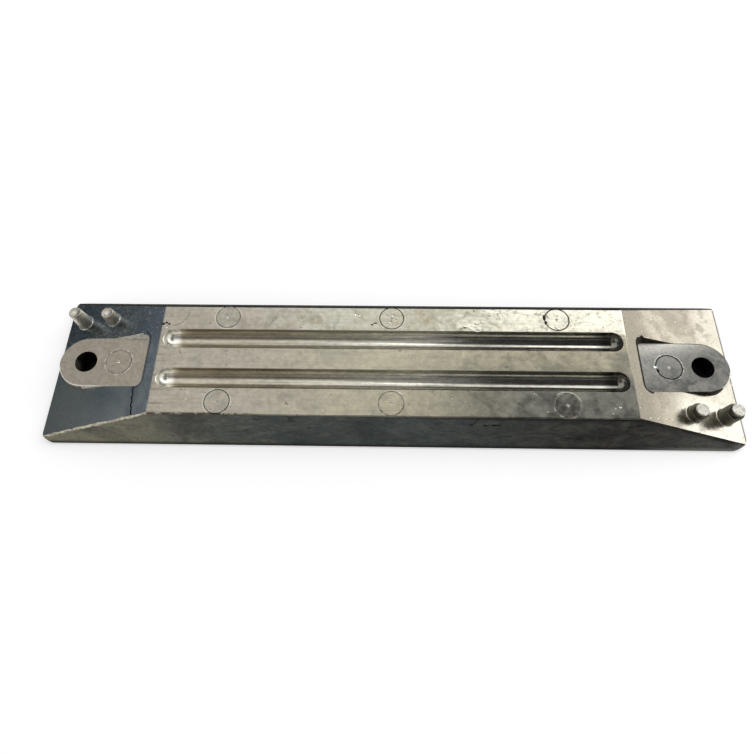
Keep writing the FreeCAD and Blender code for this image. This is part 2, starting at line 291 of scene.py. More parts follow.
BAR_SKINS = [
    "plateau_skin", "left_ramp_skin", "right_ramp_skin", "side_skin", "underside_skin", "dirt_and_painted_shade"]
casting.data.materials.clear()
for name in BAR_SKINS:
    casting.data.materials.append(finish[name])
for face in casting.data.polygons:
    face.material_index = BAR_SKINS.index(skin_of(face.normal))
print(len(casting.data.polygons), "faces have their finish")

# %% [markdown]
# Nothing cast has a sharp edge. The plateau's border and the four hips are rounded now, with a bevel of three
# segments, before the grooves and ears cut them into pieces. The long edge at the back is rounded more, and
# its rounding takes the finish of the side below it, which is painted dark as shade there.

# %% Worn upper edges
def worn_edge(edge, at_back):
    """True for the hips, the breaks and the long edges, at the back of the bar or elsewhere."""
    upper = middle(edge).z > END_LEVEL + 2 * MM and edge.calc_face_angle(0) > math.radians(5)
    return upper and (all(v.co.y > PLATEAU_SIDE - MM for v in edge.verts) == at_back)


begin(casting)
for at_back, width, name in ((False, 0.3 * MM, "plateau_skin"), (True, 0.55 * MM, "side_skin")):
    worn = pick("EDGE", lambda edge: worn_edge(edge, at_back))
    bpy.ops.mesh.bevel(
        offset=width, segments=3, profile=0.5, affect="EDGES", material=BAR_SKINS.index(name))
    print(worn, "upper edges rounded in", name)
end()
closed(casting)

# %% [markdown]
# A bolt ear is a flat tongue. At its inner end it is sunk into the ramp, and round its bolt hole it
# stands proud. Both parts come from one outline, so they are made by one function: a plane gets its
# corners rounded by a vertex bevel, and an inset with a depth draws it up or down into a drafted plug.
# An inset keeps the walls evenly leaning all round, which scaling an outline would not. The recess is
# cut a hair below the tongue's face, so that no two faces lie in the same plane.

# %% Ears
EAR_CORNER = 2 * MM
RECESS_LEAN = 20
BOSS_LEAN = 10
HAIR = 0.01 * MM


def plug(name, level, depth, lean):
    """A drafted plug with the ear's outline at its inner face, opening out by its lean from there."""
    outset = abs(depth) * math.tan(math.radians(lean))
    left = EAR_INNER - outset
    right = HOLE + EAR_HALF + outset
    half = EAR_HALF + outset
    bpy.ops.object.select_all(action="DESELECT")
    bpy.ops.mesh.primitive_plane_add(size=1, location=((left + right) / 2, 0, level - depth))
    bpy.context.object.scale = (right - left, 2 * half, 1)
    piece = added(name)
    begin(piece)
    pick("VERT", lambda vertex: vertex.co.x > HOLE)
    bpy.ops.mesh.bevel(offset=half, segments=24, profile=0.5, affect="VERTICES", clamp_overlap=False)
    pick("VERT", lambda vertex: vertex.co.x < left + 10 * HAIR)
    bpy.ops.mesh.bevel(
        offset=EAR_CORNER + outset, segments=8, profile=0.5, affect="VERTICES", clamp_overlap=False)
    bpy.ops.mesh.select_all(action="SELECT")
    bpy.ops.mesh.remove_doubles(threshold=HAIR)
    pick("FACE", lambda face: True)
    bpy.ops.mesh.inset(thickness=outset, depth=depth)
    pick("EDGE", lambda edge: edge.is_boundary)
    bpy.ops.mesh.edge_face_add()
    end()
    return closed(dress(piece, "ear_skin"))


def on_both_ears(piece, how):
    """Combine the casting with a piece of the right ear and with its half-turned copy at the left ear."""
    other = copied(piece, piece.name + "_left")
    begin(other)
    bpy.ops.mesh.select_all(action="SELECT")
    bpy.ops.transform.rotate(value=math.pi, orient_axis="Z", center_override=(0, 0, 0))
    end()
    combine(casting, piece, how)
    combine(casting, other, how)


on_both_ears(plug("recess", EAR - HAIR, -(PLATEAU - EAR + 0.5 * MM), RECESS_LEAN), "DIFFERENCE")
on_both_ears(plug("tongue", EAR, EAR - MM, BOSS_LEAN), "UNION")
closed(casting)

# %% [markdown]
# The rim of the proud part of an ear is rounded. Its sunk part is left alone, because there the tongue
# has no free edge. The rim is free where the ramp lies lower than the tongue.

# %% Rounded rims of the ears
begin(casting)
rims = pick("EDGE", lambda edge: all(abs(v.co.z - EAR) < HAIR / 2 for v in edge.verts)
            and min(abs(v.co.x) for v in edge.verts) > PLATEAU_END + (PLATEAU - EAR) / RAMP_FALL + MM)
bpy.ops.mesh.bevel(offset=0.4 * MM, segments=3, profile=0.5, affect="EDGES")
end()
print(rims, "rim edges rounded")

# %% [markdown]
# The rims and walls of the two ears don't look alike. At the left the front rim and the back wall of the
# recess are pale, a painted highlight. At the right the rim is worn bright round its tip, and the rest of it,
# the back wall of the recess and the front walls of the boss are dark, a painted shade. The faces are picked
# by their place and by the way they face, and get another finish.

# %% Finishes of the rims
def rim_face(face, end_sign, front):
    """True for faces of the rounded rim round one boss, at its front or at its back."""
    centre = middle(face)
    return (centre.x * end_sign > PLATEAU_END and (centre.y < -2 * MM) == front
            and 0.3 < face.normal.z < 0.995 and EAR - 0.5 * MM < centre.z < EAR + HAIR
            and math.hypot(centre.x - end_sign * HOLE, centre.y) > HOLE_RADIUS + 2 * MM)


def repaint(wanted, name):
    """Give some faces of the casting another finish."""
    if casting.data.materials.find(name) < 0:
        casting.data.materials.append(finish[name])
    begin(casting)
    found = pick("FACE", wanted)
    casting.active_material_index = casting.data.materials.find(name)
    bpy.ops.object.material_slot_assign()
    end()
    print(found, "faces now in", name)


def recess_back_wall(face, end_sign):
    """True for the walls of one recess that face the front."""
    centre = middle(face)
    return (centre.x * end_sign > 0 and face.normal.y < -0.5 and centre.z > EAR + 0.2 * MM
            and EAR_HALF - MM < centre.y < EAR_HALF + 3 * MM)


def boss_front_wall(face):
    """True for the front walls of the right boss."""
    centre = middle(face)
    return (centre.x > HOLE - 12 * MM and centre.y < -5 * MM and 0 < face.normal.z < 0.3
            and centre.z < EAR and math.hypot(centre.x - HOLE, centre.y) < EAR_HALF + 3 * MM)


BRIGHT_FROM = HOLE + 6 * MM
# Painted highlight: the front rim of the left ear is pale.
repaint(lambda face: rim_face(face, -1, True), "pale_painted_highlight")
repaint(lambda face: rim_face(face, 1, True) and middle(face).x > BRIGHT_FROM, "clean_metal")
# Painted shade: the rims of the right ear go dark, apart from the bright tip.
repaint(lambda face: rim_face(face, 1, False), "dirt_and_painted_shade")
repaint(lambda face: rim_face(face, 1, True) and middle(face).x < BRIGHT_FROM, "dirt_and_painted_shade")
# Painted highlight on the back wall of the left recess; painted shade on the right one and on the front walls
# of the right boss.
repaint(lambda face: recess_back_wall(face, -1), "pale_painted_highlight")
repaint(lambda face: recess_back_wall(face, 1), "dirt_and_painted_shade")
repaint(boss_front_wall, "dirt_and_painted_shade")
closed(casting)

# %% [markdown]
# The sunk end of an ear has a small rounding where its walls come up through the ramp. At the left it is like
# the ramp; at the right it is dark, a painted shade that draws a bold dark line round it.

# %% Rounded rims of the recesses
def on_ramp(edge):
    """True for edges that lie in the plane of a ramp."""
    return all(abs(v.co.z - ramp_level(abs(v.co.x))) < 2 * HAIR for v in edge.verts)


def recess_rim(edge, side):
    """True for edges where a recess wall meets its ramp and is high enough for a rounding."""
    beside = all(abs(v.co.y) < EAR_HALF + 3 * MM for v in edge.verts)
    high_enough = all(EAR + 1.6 * MM < v.co.z < PLATEAU - 0.5 * MM for v in edge.verts)
    sharp = edge.calc_face_angle(0) > math.radians(20)
    return on_ramp(edge) and beside and high_enough and sharp and middle(edge).x * side > 0


# At the right the rounding is dark, a painted shade round the sunk end.
for side, name in ((-1, "left_ramp_skin"), (1, "dirt_and_painted_shade")):
    begin(casting)
    rims = pick("EDGE", lambda edge: recess_rim(edge, side))
    slot = casting.data.materials.find(name)
    bpy.ops.mesh.bevel(offset=1.0 * MM, segments=4, profile=0.5, affect="EDGES", material=slot)
    end()
    print(rims, "recess edges rounded in", name)
closed(casting)

# %% [markdown]
# The bolt holes are plain through holes. A cylinder longer than the bar is thick cuts each one, and its
# walls take the dark finish of the sides.

# %% Bolt holes
bpy.ops.object.select_all(action="DESELECT")
bpy.ops.mesh.primitive_cylinder_add(vertices=64, radius=HOLE_RADIUS, depth=4 * PLATEAU, location=(HOLE, 0, 0))
on_both_ears(dress(added("bolt"), "side_skin"), "DIFFERENCE")
begin(casting)
hole_rims = pick("EDGE", lambda edge: all(
    abs(math.hypot(abs(v.co.x) - HOLE, v.co.y) - HOLE_RADIUS) < HAIR and abs(v.co.z - EAR) < HAIR / 2
    for v in edge.verts))
bpy.ops.mesh.bevel(offset=0.25 * MM, segments=2, profile=0.5, affect="EDGES")
end()
print(hole_rims, "hole edges rounded")
closed(casting)

# %% [markdown]
# A groove has a round bottom, ball ends and a softly rounded rim. One half profile holds all three: a
# quarter of a circle that turns outwards in a small fillet just below the plateau. It is drawn as a
# chain of vertices, spun half round for the ball end, and its open side is extruded to the middle of
# the bar. A mirror makes the other half. So the rim needs no bevel after the cut.

# %% Groove cutter
GROOVE_RADIUS = 4.1 * MM
GROOVE_DEPTH = 3.8 * MM
GROOVE_AXIS = PLATEAU - GROOVE_DEPTH + GROOVE_RADIUS
GROOVE_RIM = 0.35 * MM
GROOVE_SIDE = 8.75 * MM
GROOVE_GAP = 1.25 * MM
BOTTOM_STEPS = 16
RIM_STEPS = 5
RIM_TURN = math.radians(72)
CLOSE = 0.001 * MM
ball_centre = PLATEAU_END - GROOVE_GAP - GROOVE_RADIUS
rim_reach = math.sqrt((GROOVE_RADIUS + GROOVE_RIM) ** 2 - (GROOVE_AXIS - PLATEAU + GROOVE_RIM) ** 2)
touch = math.atan2(GROOVE_AXIS - PLATEAU + GROOVE_RIM, rim_reach)
half_profile = []
for step in range(BOTTOM_STEPS + 1):
    angle = math.pi / 2 + (touch - math.pi / 2) * step / BOTTOM_STEPS
    half_profile.append((GROOVE_RADIUS * math.cos(angle), GROOVE_AXIS - GROOVE_RADIUS * math.sin(angle)))
for step in range(1, RIM_STEPS + 1):
    angle = -touch + (RIM_TURN + touch) * step / RIM_STEPS
    half_profile.append(
        (rim_reach - GROOVE_RIM * math.cos(angle), PLATEAU - GROOVE_RIM + GROOVE_RIM * math.sin(angle)))
half_profile += [(rim_reach, PLATEAU + 0.1 * MM), (rim_reach, PLATEAU + MM), (0, PLATEAU + MM)]

cutter = drawn("groove", [(ball_centre, -GROOVE_SIDE - reach, level) for reach, level in half_profile])
begin(cutter)
bpy.ops.mesh.select_all(action="SELECT")
bpy.ops.mesh.spin(steps=24, angle=math.pi, center=(ball_centre, -GROOVE_SIDE, 0), axis=(0, 0, -1))
bpy.ops.mesh.select_all(action="SELECT")
bpy.ops.mesh.remove_doubles(threshold=CLOSE)
spun_end = max(v.co.x for v in bmesh.from_edit_mesh(cutter.data).verts)
wanted_end = ball_centre + rim_reach
print("the ball end reaches", round(spun_end / MM, 2), "and should reach", round(wanted_end / MM, 2))
pick("EDGE", lambda edge: edge.is_boundary)
bpy.ops.mesh.extrude_region_move(TRANSFORM_OT_translate={"value": (-ball_centre, 0, 0)})
end()
bpy.ops.object.select_all(action="DESELECT")
bpy.context.view_layer.objects.active = cutter
other_half = cutter.modifiers.new("OtherHalf", "MIRROR")
other_half.merge_threshold = CLOSE
bpy.ops.object.modifier_apply(modifier="OtherHalf")
dress(closed(cutter), "groove_skin")

# %% [markdown]
# The two grooves are alike, so the second cutter is a copy of the first one, moved across the bar. The
# copy has to be made before the first cut, because a boolean uses its cutter up.

# %% Cutting the grooves
other = copied(cutter, "other_groove")
begin(other)
bpy.ops.mesh.select_all(action="SELECT")
bpy.ops.transform.translate(value=(0, 2 * GROOVE_SIDE, 0))
end()
combine(casting, cutter, "DIFFERENCE")
combine(casting, other, "DIFFERENCE")
closed(casting)

# %% [markdown]
# Where an ejector pushed the casting out of its mould it left a fine round line with a dimple at its
# centre. A thin torus cuts the line and a small cone cuts the dimple. The lines differ: some are filled
# with dirt and bold, others are worn and thin, so each mark has its own finish and width.

# %% Ejector marks
MARK_RADIUS = 4.95 * MM
EAR_MARK_RADIUS = 5.25 * MM
MARK_PITCH = 68 * MM
MARK_ROW = PLATEAU_SIDE - 5.2 * MM
EAR_MARK = HOLE - 13.65 * MM
DIMPLE_RADIUS = 0.85 * MM
DIMPLE_FLOOR = 0.1 * MM
DIMPLE_HEIGHT = 0.6 * MM


def cut_line(x, y, level, radius, width, name):
    """The fine round line of a mark."""
    bpy.ops.object.select_all(action="DESELECT")
    bpy.ops.mesh.primitive_torus_add(
        location=(x, y, level + 0.02 * MM), major_radius=radius, minor_radius=width / 2,
        major_segments=72, minor_segments=8)
    combine(casting, dress(added("line"), name), "DIFFERENCE")


def cut_dimple(x, y, level):
    """The small hollow at the centre of a mark, which shows clean metal."""
    bpy.ops.object.select_all(action="DESELECT")
    bpy.ops.mesh.primitive_cone_add(
        vertices=20, radius1=DIMPLE_FLOOR, radius2=DIMPLE_RADIUS, depth=DIMPLE_HEIGHT,
        location=(x, y, level - DIMPLE_HEIGHT / 4))
    combine(casting, dress(added("dimple"), "clean_metal"), "DIFFERENCE")


# place along and across the bar, finish, and width of the line in millimetres
MARKS = [
    (-MARK_PITCH, MARK_ROW, "worn_line", 0.40), (0, MARK_ROW, "dirt_and_painted_shade", 0.42),
    (MARK_PITCH, MARK_ROW, "dirt_and_painted_shade", 0.50), (-MARK_PITCH, -MARK_ROW, "dirt_and_painted_shade", 0.36),
    (0, -MARK_ROW, "worn_line", 0.40), (MARK_PITCH, -MARK_ROW, "worn_line", 0.36),
]
for x, y, name, width in MARKS:
    cut_line(x, y, PLATEAU, MARK_RADIUS, width * MM, name)
    cut_dimple(x, y, PLATEAU)
for x, name, width in ((-EAR_MARK, "worn_line", 0.36), (EAR_MARK, "dirt_and_painted_shade", 0.52)):
    cut_line(x, 0, EAR, EAR_MARK_RADIUS, width * MM, name)
    cut_dimple(x, 0, EAR)
closed(casting)

# %% [markdown]
# Four stub pins were left standing on the ramps. Each is a profile spun right round its own axis. The
# two at the back of the left ramp taper to a dished tip; the two at the front of the right ramp have a
# step below a narrow tip. All four end at the same level although the ramp falls away beneath them.

# %% Stub pins
PIN = BAR_END - 7.4 * MM
PIN_PITCH = 13.6 * MM
PIN_ROW = BAR_SIDE - 12.3 * MM
# distance from the axis and height, in millimetres
TAPERED = [(0, 1.0), (3.3, 1.0), (3.3, 3.4), (2.5, 14.4), (2.42, 14.6), (2.2, 14.7),
           (1.7, 14.55), (0.8, 14.3), (0, 14.2)]
STEPPED = [(0, 1.0), (3.4, 1.0), (3.4, 12.2), (3.25, 12.4), (2.5, 12.45), (2.42, 12.7),
           (2.45, 14.4), (2.15, 14.7), (1.2, 14.66), (0, 14.7)]
PINS = [
    ("tapered_outer", -PIN, PIN_ROW, TAPERED), ("tapered_inner", -PIN + PIN_PITCH, PIN_ROW, TAPERED),
    ("stepped_outer", PIN, -PIN_ROW, STEPPED), ("stepped_inner", PIN - PIN_PITCH, -PIN_ROW, STEPPED),
]


def turned(name, x, y, profile):
    """A solid of revolution about an upright axis, from a profile in millimetres."""
    piece = drawn(name, [(x + reach * MM, y, level * MM) for reach, level in profile])
    begin(piece)
    bpy.ops.mesh.select_all(action="SELECT")
    bpy.ops.mesh.spin(steps=40, angle=2 * math.pi, center=(x, y, 0), axis=(0, 0, 1))
    end()
    return closed(dress(piece, "pin_skin"))


for name, x, y, profile in PINS:
    combine(casting, turned(name, x, y, profile), "UNION")
closed(casting)

# %% [markdown]
# Where a pin meets its ramp there is a small round collar. The union left one ring of edges there; it
# is found by its distance from the pin's axis and from the plane of the ramp, and bevelled.

# %% Feet of the pins
PIN_REACH = 3.6 * MM


def pin_foot(edge):
    """True for edges where a pin meets its ramp."""
    return on_ramp(edge) and any(
        all(math.hypot(v.co.x - x, v.co.y - y) < PIN_REACH for v in edge.verts) for _, x, y, _ in PINS)


begin(casting)
feet = pick("EDGE", pin_foot)
bpy.ops.mesh.bevel(offset=0.7 * MM, segments=4, profile=0.5, affect="EDGES")
end()
print(feet, "edges rounded at the feet of the pins")
closed(casting)

# %% [markdown]
# Die casting leaves faults, and they make a casting look real. Where two streams of metal met too cold,
# a thin dark seam stays. The boldest one is the black wavy line on the left ramp, and a faint one
# curves over the left end of the plateau. Each path is drawn as a chain, extruded into an upright
# ribbon, thickened by a modifier and cut into the metal. The paths wander by their points and never
# turn sharply, so that the ribbon can't cut itself.

# %% Cold-flow seams
def cut_seam(name, points, width, depth, skin):
    """A wandering seam through points in millimetres, following the height of the metal."""
    path = []
    for x, y in points:
        level = PLATEAU if abs(x) * MM < PLATEAU_END else ramp_level(abs(x) * MM)
        path.append((x * MM, y * MM, level - depth * MM))
    ribbon = drawn(name, path)
    begin(ribbon)
    bpy.ops.mesh.select_all(action="SELECT")
    bpy.ops.mesh.extrude_region_move(TRANSFORM_OT_translate={"value": (0, 0, 3 * depth * MM)})
    end()
    bpy.ops.object.select_all(action="DESELECT")
    bpy.context.view_layer.objects.active = ribbon
    thick = ribbon.modifiers.new("Thick", "SOLIDIFY")
    thick.thickness = width * MM
    thick.offset = 0
    bpy.ops.object.modifier_apply(modifier="Thick")
    combine(casting, dress(closed(ribbon), skin), "DIFFERENCE")


RAMP_SEAM = [
    (-102.9, -11.6), (-102.65, -12.6), (-102.85, -13.7), (-102.4, -14.6), (-102.2, -15.4),
    (-102.5, -16.3), (-102.5, -17.2), (-102.0, -18.0), (-102.1, -18.9), (-102.3, -19.8),
    (-101.95, -20.7), (-101.6, -21.5), (-101.75, -22.4), (-101.4, -23.3), (-101.5, -24.4)]
CURVED_SEAM = [(-91.1, 14.5), (-89.3, 14.8), (-87.4, 15.7), (-86.0, 17.1), (-84.8, 19.0), (-84.5, 21.4)]
cut_seam("ramp_seam", RAMP_SEAM, 0.6, 0.6, "dirt_and_painted_shade")
cut_seam("curved_seam", CURVED_SEAM, 0.2, 0.12, "worn_line")
closed(casting)

# %% [markdown]
# Small faults are spread over the casting: pits, torn spots beside some of the marks and short strokes
# on the front slope. Each is a small ball, stretched and laid half into the metal, whose vertices are
# shaken by a seeded amount, so that the tear is ragged and looks the same each time the script runs.
# Dirty ones are dark inside and fresh ones show clean metal.

# %% Pits and tears
TEAR_DEPTH = 0.35


def cut_tear(x, y, level, size, seed, name):
    """A small ragged pit in the metal."""
    bpy.ops.object.select_all(action="DESELECT")
    bpy.ops.mesh.primitive_ico_sphere_add(subdivisions=3, radius=1, location=(x, y, level), scale=size)
    tear = added("tear")
    begin(tear)
    bpy.ops.mesh.select_all(action="SELECT")
    bpy.ops.transform.vertex_random(offset=0.12 * min(size), seed=seed, normal=0.5)
    end()
    combine(casting, dress(tear, name), "DIFFERENCE")


# place along and across the bar, height, length and width in millimetres, and finish
TEARS = [
    (-94.9, 15.2, 14.0, 0.95, 0.6, "dirt_and_painted_shade"), (-93.4, 15.8, 14.0, 0.6, 0.4, "dirt_and_painted_shade"),
    (-92.2, 15.2, 14.0, 0.7, 0.35, "dirt_and_painted_shade"), (-92.9, 13.7, 14.0, 0.8, 0.5, "clean_metal"),
    (-72.8, -15.4, 14.0, 0.8, 0.5, "clean_metal"),
    (62.9, 19.6, 14.0, 0.7, 1.3, "dirt_and_painted_shade"), (63.3, 17.2, 14.0, 0.55, 0.9, "dirt_and_painted_shade"),
    (107.2, 0.3, 9.0, 0.9, 0.9, "clean_metal"), (107.9, -1.7, 9.0, 0.5, 0.9, "dirt_and_painted_shade"),
    (-1.5, 19.6, 14.0, 0.6, 0.8, "clean_metal"), (0.6, 20.1, 14.0, 0.8, 0.6, "clean_metal"),
    (-0.4, 16.9, 14.0, 0.7, 0.7, "clean_metal"), (1.7, 17.8, 14.0, 0.5, 0.6, "clean_metal"),
    (-13.4, 20.0, 14.0, 0.8, 0.6, "clean_metal"), (-14.9, 20.4, 14.0, 0.5, 0.9, "clean_metal"),
    (-6.8, 16.4, 14.0, 0.9, 0.3, "dirt_and_painted_shade"), (-8.1, 15.6, 14.0, 0.6, 0.3, "dirt_and_painted_shade"),
    (35.2, 13.3, 14.0, 1.1, 0.6, "clean_metal"), (37.3, 13.6, 14.0, 0.6, 0.4, "clean_metal"),
    (30.0, 14.6, 14.0, 0.9, 0.3, "dirt_and_painted_shade"),
    (101.0, 12.4, 12.5, 0.5, 0.5, "clean_metal"), (102.4, 13.1, 12.2, 0.4, 0.4, "clean_metal"),
    (104.0, 12.7, 11.8, 0.5, 0.3, "clean_metal"), (88.0, -19.2, 14.0, 0.7, 0.5, "clean_metal"),
    (96.4, -18.8, 13.62, 0.6, 0.5, "clean_metal"),
    (36.6, -26.15, 10.5, 1.2, 0.4, "dirt_and_painted_shade"), (40.6, -26.05, 10.7, 2.2, 0.45, "dirt_and_painted_shade"),
    (31.0, -25.95, 10.8, 0.9, 0.3, "dirt_and_painted_shade"),
]
for seed, (x, y, level, along, across, name) in enumerate(TEARS):
    cut_tear(x * MM, y * MM, level * MM, (along * MM, across * MM, TEAR_DEPTH * MM), seed, name)
print(len(TEARS), "pits and tears cut")
closed(in_triangles(casting))

# %% [markdown]
# Metal also squeezed out where the two halves of the mould met and left a thin ragged flash. One runs
# down the front hip of the left ramp. It is a chain of points beside the hip, shaken a little, given a
# small section by a skin modifier and united with the bar.

# %% Flash
random.seed(11)
FLASH_STEPS = 34
FLASH_END = BAR_END - 2 * MM
FLASH_INWARDS = 0.1 * MM
FLASH_SUNK = 0.18 * MM
flash_path = []
for step in range(FLASH_STEPS + 1):
    share = step / FLASH_STEPS
    x = PLATEAU_END + (FLASH_END - PLATEAU_END) * share
    level = ramp_level(x)
    y = PLATEAU_SIDE + (PLATEAU - level) / SIDE_FALL
    sideways = random.uniform(-0.12, 0.12) * MM
    upwards = random.uniform(-0.1, 0.06) * MM
    flash_path.append((-x, -y + FLASH_INWARDS + sideways, level - FLASH_SUNK + upwards))
flash = drawn("flash", flash_path)
bpy.ops.object.select_all(action="DESELECT")
bpy.context.view_layer.objects.active = flash
section = flash.modifiers.new("Section", "SKIN")
for vertex in flash.data.skin_vertices[0].data:
    vertex.radius = (random.uniform(0.28, 0.58) * MM, random.uniform(0.2, 0.36) * MM)
bpy.ops.object.modifier_apply(modifier="Section")
combine(casting, dress(closed(flash), "flash_skin"), "UNION")
closed(in_triangles(casting))

# %% [markdown]
# Rounded parts are shaded smoothly and real edges stay crisp, told apart by the angle between their
# faces. The large flat faces then hand their own direction to all their corners. Otherwise a small
# rounding beside them would bend their reflections, and on bare metal that shows at once.

# %% Smooth shading
bpy.ops.object.select_all(action="DESELECT")
casting.select_set(True)
bpy.context.view_layer.objects.active = casting
bpy.ops.object.shade_smooth_by_angle(angle=math.radians(32))
FLATS = {
    "up": (0, 0, 1), "down": (0, 0, -1), "right": (1, 0, 0), "left": (-1, 0, 0),
    "up the right ramp": (RAMP_FALL, 0, 1), "up the left ramp": (-RAMP_FALL, 0, 1),
    "up the back slope": (0, SIDE_FALL, 1), "up the front slope": (0, -SIDE_FALL, 1),
}
SAME_WAY = 0.99998
begin(casting)
for name, way in FLATS.items():
    direction = Vector(way).normalized()
    count = pick("FACE", lambda face: face.normal.dot(direction) > SAME_WAY)
    bpy.ops.mesh.set_normals_from_faces(keep_sharp=True)
    print(count, "flat faces look", name)
end()

# %% [markdown]
# The camera stands a little in front of the bar and looks steeply down on it, close enough for the bar
# to seem shorter at its far side. Its place, turn and lens were fitted to about ninety points, rings
# and edges measured on the picture, until the bar drawn through it lay on the real one to within two
# pixels. So these numbers are odd: they are measured, not chosen.

# %% Camera
camera_data = bpy.data.cameras.new("camera")
camera_data.lens = 25.3467
camera_data.sensor_width = 36
camera = bpy.data.objects.new("camera", camera_data)
bpy.context.scene.collection.objects.link(camera)
camera.location = (-0.00192, -0.08872, 0.20751)
camera.rotation_euler = [math.radians(angle) for angle in (22.7348, 0.7140, 0.9451)]
camera_data.clip_start = 0.01
bpy.context.scene.camera = camera
print("the camera stands", round(camera.location.length / MM), "millimetres from the middle of the bar")

# %% [markdown]
# A material is a small recipe of nodes. Written out by hand, even one multiplication takes four lines,
# so sums are given to a tiny class instead: it wraps one socket and turns plus, minus and times into
# Math nodes. Every other node comes from a single method, which sets the node up first and then feeds
# its sockets.

# %% Recipes of nodes
class Wire:
    """One output socket, with arithmetic that adds Math nodes."""

    def __init__(self, recipe, socket):
        self.recipe = recipe
        self.socket = socket

    def math(self, operation, first, second=0.0):
        return self.recipe.node("ShaderNodeMath", {"operation": operation}, {0: first, 1: second})

    def __add__(self, other):
        return self.math("ADD", self, other)

    __radd__ = __add__

    def __sub__(self, other):
        return self.math("SUBTRACT", self, other)

    def __rsub__(self, other):
        return self.math("SUBTRACT", other, self)

    def __mul__(self, other):
        return self.math("MULTIPLY", self, other)

    __rmul__ = __mul__

    def __truediv__(self, other):
        return self.math("DIVIDE", self, other)

    def __neg__(self):
        return self * -1

    def __abs__(self):
        return self.math("ABSOLUTE", self)

    def root(self):
        return self.math("SQRT", self)

    def whole(self):
        return self.math("ROUND", self)

    def larger(self, other):
        return self.math("MAXIMUM", self, other)

    def smaller(self, other):
        return self.math("MINIMUM", self, other)

    def between(self, start, stop):
        """Nothing up to start, all from stop on, and a smooth change between them."""
        return self.recipe.node(
            "ShaderNodeMapRange", {"interpolation_type": "SMOOTHSTEP"},
            {"Value": self, "From Min": start, "From Max": stop, "To Min": 0.0, "To Max": 1.0})


class Recipe:
    """The node tree of one material or of the world."""

    def __init__(self, owner):
        owner.use_nodes = True
        self.tree = owner.node_tree
        self.tree.nodes.clear()

    def feed(self, socket, value):
        """Link a wire to a socket, or set a plain value on it."""
        if isinstance(value, Wire):
            self.tree.links.new(value.socket, socket)
        else:
            socket.default_value = value

    def node(self, kind, settings=None, inputs=None, output=0):
        """Add a node, set it up, feed its sockets and return one of its outputs."""
        node = self.tree.nodes.new(kind)
        for name, value in (settings or {}).items():
            setattr(node, name, value)
        for name, value in (inputs or {}).items():
            self.feed(node.inputs[name], value)
        return Wire(self, node.outputs[output]) if node.outputs else None


# %% [markdown]
# The studio is plain: a white sweep, a pale sky and three soft lamps. The sky and the floor are white for the
# eye and in reflections, and give a moderate light otherwise, so the background is white without any extra
# light on the metal. The patch of floor that the bar covers is a painted shadow in dark grey, so that it
# looks dark through a bolt hole, as the inside of a real one does.

# %% Sky and floor
SKY = 0.55
world = bpy.data.worlds.new("sky")
bpy.context.scene.world = world
sky = Recipe(world)


def seen(recipe):
    """One for rays from the eye, from a reflection or through glass, nought for the light itself."""
    eye = recipe.node("ShaderNodeLightPath", output="Is Camera Ray")
    mirror = recipe.node("ShaderNodeLightPath", output="Is Glossy Ray")
    glass = recipe.node("ShaderNodeLightPath", output="Is Transmission Ray")
    return eye.larger(mirror).larger(glass)


background = sky.node("ShaderNodeBackground", inputs={
    "Color": (1, 1, 1, 1), "Strength": SKY + (1 - SKY) * seen(sky)})
sky.node("ShaderNodeOutputWorld", inputs={"Surface": background})

bpy.ops.object.select_all(action="DESELECT")
bpy.ops.mesh.primitive_plane_add(size=6, location=(0, 0, -0.0002))
floor = added("floor")
floor.data.materials.append(bpy.data.materials.new("white_sweep"))
sweep = Recipe(floor.data.materials[0])
spot = sweep.node("ShaderNodeTexCoord", output="Object")
along, across = (abs(sweep.node("ShaderNodeSeparateXYZ", inputs={0: spot}, output=axis)) for axis in "XY")
uncovered = along.between(HOLE + 6 * MM, BAR_END).larger(across.between(BAR_SIDE - 3 * MM, BAR_SIDE))
matt = sweep.node("ShaderNodeBsdfDiffuse", inputs={"Color": (0.9, 0.9, 0.9, 1)})
glow = sweep.node("ShaderNodeEmission", inputs={"Color": (1, 1, 1, 1), "Strength": 0.35 * seen(sweep)})
white = sweep.node("ShaderNodeAddShader", inputs={0: matt, 1: glow})
# Painted shadow: the floor under the bar is dark grey.
painted_shadow = sweep.node("ShaderNodeBsdfDiffuse", inputs={"Color": (0.02, 0.02, 0.02, 1)})
cloth = sweep.node("ShaderNodeMixShader", inputs={0: uncovered, 1: painted_shadow, 2: white})
sweep.node("ShaderNodeOutputMaterial", inputs={"Surface": cloth})
print("the sky lights with", SKY, "and the floor is", round(floor.dimensions.x, 1), "metres wide")

# %% [markdown]
# A big lamp like a window stands at the back right and gives the main light. A weaker one overhead
# fills in from the back left. A small bulb behind the middle adds the narrow glints that only a small
# lamp leaves on polished metal.

# %% Lamps
def lamp(name, place, target, size, power):
    """A soft oblong lamp that faces a target."""
    data = bpy.data.lights.new(name, "AREA")
    data.shape = "RECTANGLE"
    data.size = size[0]
    data.size_y = size[1]
    data.energy = power
    soft = bpy.data.objects.new(name, data)
    soft.location = place
    soft.rotation_euler = (Vector(target) - Vector(place)).to_track_quat("-Z", "Y").to_euler()
    bpy.context.scene.collection.objects.link(soft)
    print(name, "gives", power, "watts")


lamp("window", (0.85, 0.55, 0.75), (0.05, 0, 0), (1.1, 0.9), 4.6)
lamp("overhead", (-0.3, 0.5, 1.0), (0, 0, 0), (1.2, 0.9), 1.0)
lamp("bulb", (0.08, 0.43, 0.95), (0, 0, 0), (0.20, 0.13), 0.35)

# %% [markdown]
# Bare metal has no look of its own, it shows its surroundings. In an all-white studio even a deep
# groove would be white, so photographers hang dark cards round the metal: each is mirrored in the faces
# that should go dark. One stands beyond the left ramp, a dark and a paler one side by side in front,
# two hang overhead, and one low at the back left gives the left half of each groove its second dark
# line. They show in reflections only. Each is no larger than it has to be, so that from other sides the
# metal still mirrors the white studio.

